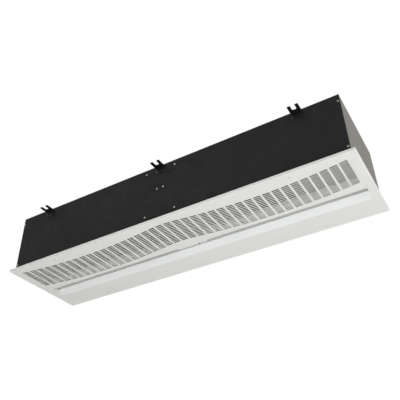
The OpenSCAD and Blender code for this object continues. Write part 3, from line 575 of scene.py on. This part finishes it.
def loose_parts(node):
    """Boxes of the separate solids in a CAD node, as (low, high)."""
    mesh = bmesh.new()
    mesh.from_mesh(NODES[node].data)
    bmesh.ops.remove_doubles(mesh, verts=mesh.verts, dist=WELD)
    seen, boxes = set(), []
    for start in mesh.verts:
        if start in seen:
            continue
        stack, group = [start], []
        seen.add(start)
        while stack:
            vert = stack.pop()
            group.append(vert.co.copy())
            for edge in vert.link_edges:
                other = edge.other_vert(vert)
                if other not in seen:
                    seen.add(other)
                    stack.append(other)
        boxes.append((Vector(map(min, *group)), Vector(map(max, *group))))
    mesh.free()
    return boxes


def face_screws(name, node, slot):
    """Pan heads on the front and back faces, one for each screw of the CAD node."""
    mesh = bmesh.new()
    for low, high in loose_parts(node):
        centre = (low + high) / 2
        out = Vector((0, -1 if centre.y < 0 else 1, 0))
        outer = low.y if centre.y < 0 else high.y
        place = Vector((centre.x, outer - out.y * HEAD_H, centre.z))
        screw_head(mesh, place, out, HEAD_H, PAN_HEAD)
        shank(mesh, place, out, (high.y - low.y) - HEAD_H)
    smooth(new_piece(name, mesh, "casing", slot, node))


def cover_screws():
    """Flat heads sunk flush in the cover's underside."""
    mesh = bmesh.new()
    down = Vector((0, 0, -1))
    for low, high in loose_parts("cover_screws"):
        centre = (low + high) / 2
        place = Vector((centre.x, centre.y, low.z + FLAT_HEAD_H))
        screw_head(mesh, place, down, FLAT_HEAD_H - SUNK, FLAT_HEAD)
        shank(mesh, place, down, high.z - low.z - FLAT_HEAD_H)
    smooth(new_piece("cover_screw_heads", mesh, "cover", "zinc_screw", "cover_screws"))


def needs_rounding(edge, shortest, window):
    """Whether an edge is sharp, long enough and off the slotted field's window, where no seam may show."""
    if not edge.is_manifold or edge.calc_length() <= shortest:
        return False
    low, high = window
    on_window = all(low[i] - TOUCH < vert.co[i] < high[i] + TOUCH for vert in edge.verts for i in range(3))
    return edge.calc_face_angle() > math.radians(SHARP) and not on_window


def rounded(node, body, slot, window):
    """A CAD node's form with its sharp edges rounded, as pressed sheet and mouldings have."""
    source = NODES[node].data
    mesh = bmesh.new()
    verts = [mesh.verts.new(vert.co) for vert in source.vertices]
    for polygon in source.polygons:
        mesh.faces.new([verts[i] for i in polygon.vertices])
    bmesh.ops.remove_doubles(mesh, verts=mesh.verts, dist=WELD)
    bmesh.ops.dissolve_limit(mesh, angle_limit=math.radians(COPLANAR), verts=mesh.verts, edges=mesh.edges)
    shortest = 0 if slot in SHORT_EDGED else LONG_EDGE
    sharp = [edge for edge in mesh.edges if needs_rounding(edge, shortest, window)]
    bmesh.ops.bevel(mesh, geom=sharp, offset=EDGE_ROUND[slot], segments=ROUND_STEPS, profile=0.5,
                    affect="EDGES", clamp_overlap=True)
    piece = new_piece(node + "_form", mesh, body, slot, node)
    smooth(piece)
    piece.modifiers.new("flats", "WEIGHTED_NORMAL").keep_sharp = True


def round_edges():
    """Rounds the sheet and moulded parts that show."""
    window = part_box("intake_grille")
    slots = {entry["node"]: entry["material_slot"] for entry in frame["record"]["subparts"]}
    for body, nodes in frame["record"]["behaviour"]["bodies"].items():
        for node in nodes:
            if slots[node] in EDGE_ROUND and node not in OTHERWISE_DRESSED:
                rounded(node, body, slots[node], window)


def smooth(piece):
    """Shades a piece smooth except across its sharp edges."""
    piece.data.shade_smooth()
    piece.data.set_sharp_from_angle(angle=math.radians(SMOOTH))


# ---------------------------------------------------------------- scene
def make_camera():
    data = bpy.data.cameras.new("camera")
    data.sensor_width = SENSOR
    data.lens = FOCAL_PIXELS / FRAME_PIXELS * SENSOR
    data.clip_start, data.clip_end = CLIP
    camera = bpy.data.objects.new("camera", data)
    bpy.context.scene.collection.objects.link(camera)
    axes = Matrix((CAMERA_RIGHT, -CAMERA_DOWN, -CAMERA_FORWARD)).transposed()
    camera.matrix_world = Matrix.Translation(CAMERA_PLACE) @ axes.to_4x4()
    bpy.context.scene.camera = camera


def make_world():
    """Plain soft light all round, seen as white by the camera and in reflections."""
    world = bpy.data.worlds.new("studio")
    bpy.context.scene.world = world
    world.use_nodes = True
    nodes, links = world.node_tree.nodes, world.node_tree.links
    background = nodes["Background"]
    background.inputs["Color"].default_value = (1, 1, 1, 1)
    path = nodes.new("ShaderNodeLightPath")
    seen = path.outputs["Is Camera Ray"]
    for kind in ("Is Glossy Ray", "Is Transmission Ray"):
        either = nodes.new("ShaderNodeMath")
        either.operation = "MAXIMUM"
        links.new(seen, either.inputs[0])
        links.new(path.outputs[kind], either.inputs[1])
        seen = either.outputs[0]
    strength = nodes.new("ShaderNodeMapRange")
    strength.inputs["To Min"].default_value = WORLD_LEVEL
    strength.inputs["To Max"].default_value = 1.0
    links.new(seen, strength.inputs["Value"])
    links.new(strength.outputs["Result"], background.inputs["Strength"])


def make_floor():
    """Wide pale floor, well below the unit, which hangs overhead."""
    mesh = bmesh.new()
    bmesh.ops.create_grid(mesh, x_segments=1, y_segments=1, size=FLOOR_HALF)
    data = bpy.data.meshes.new("floor")
    mesh.to_mesh(data)
    mesh.free()
    floor = bpy.data.objects.new("floor", data)
    floor.location = (0, 0, FLOOR_Z)
    bpy.context.scene.collection.objects.link(floor)
    p = Paint("floor", (244, 243, 241), 0.7, specular=0.2)
    p.tint(p.noise(0.8, 3), 0.985, 1.0)
    path = p.add("ShaderNodeLightPath")
    glow = p.add("ShaderNodeMath", operation="MULTIPLY")
    glow.inputs[1].default_value = FLOOR_GLOW
    p.link(path.outputs["Is Camera Ray"], glow.inputs[0])
    p.shader.inputs["Emission Color"].default_value = (1, 1, 1, 1)
    p.link(glow.outputs[0], p.shader.inputs["Emission Strength"])
    data.materials.append(p.material)


def area_light(name, place, watts, side, color):
    """A square lamp that points at the unit."""
    data = bpy.data.lights.new(name, "AREA")
    data.energy = watts
    data.color = color
    data.size = side
    lamp = bpy.data.objects.new(name, data)
    place = Vector(place)
    turn = (AIM - place).to_track_quat("-Z", "Y").to_matrix().to_4x4()
    lamp.matrix_world = Matrix.Translation(place) @ turn
    bpy.context.scene.collection.objects.link(lamp)


def main():
    dress_nodes()
    intake_grille()
    face_screws("panel_screw_heads", "panel_screws", "zinc_screw")
    face_screws("hanger_screw_heads", "hanger_screws", "bracket_black")
    cover_screws()
    round_edges()
    make_camera()
    make_world()
    make_floor()
    for light in LIGHTS:
        area_light(*light)
    bpy.context.scene.view_settings.view_transform = "Standard"


main()
